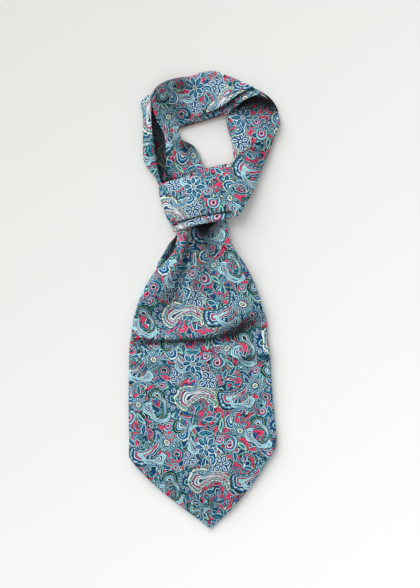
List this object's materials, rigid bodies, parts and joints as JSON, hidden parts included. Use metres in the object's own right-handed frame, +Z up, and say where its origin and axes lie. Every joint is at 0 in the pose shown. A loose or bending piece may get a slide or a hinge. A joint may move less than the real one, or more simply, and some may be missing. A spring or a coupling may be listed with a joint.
{
  "type": "silk cravat",
  "caption": "Printed silk cravat, tied and laid flat: a folded neck loop, a wrapped knot and a wide pointed blade over a shorter one.",
  "frame": {"origin": "middle of the whole cravat's box in X and Y, on the surface it lies on", "axes": "+Z up from the surface, +Y from the point of the front blade to the neck loop, +X to the right of the knot seen from above"},
  "size_m": [0.1523, 0.4579, 0.0209],
  "materials": {
    "printed_silk": "printed silk twill, dense paisley and flower repeat in navy, teal, pale aqua, cream and crimson, soft sheen"
  },
  "bodies": {
    "root": {"blade_front": "printed_silk", "blade_under": "printed_silk", "band_left": "printed_silk", "band_top": "printed_silk", "band_right": "printed_silk", "knot_wrap": "printed_silk", "knot_pleat": "printed_silk", "knot_back": "printed_silk"}
  },
  "joints": []
}
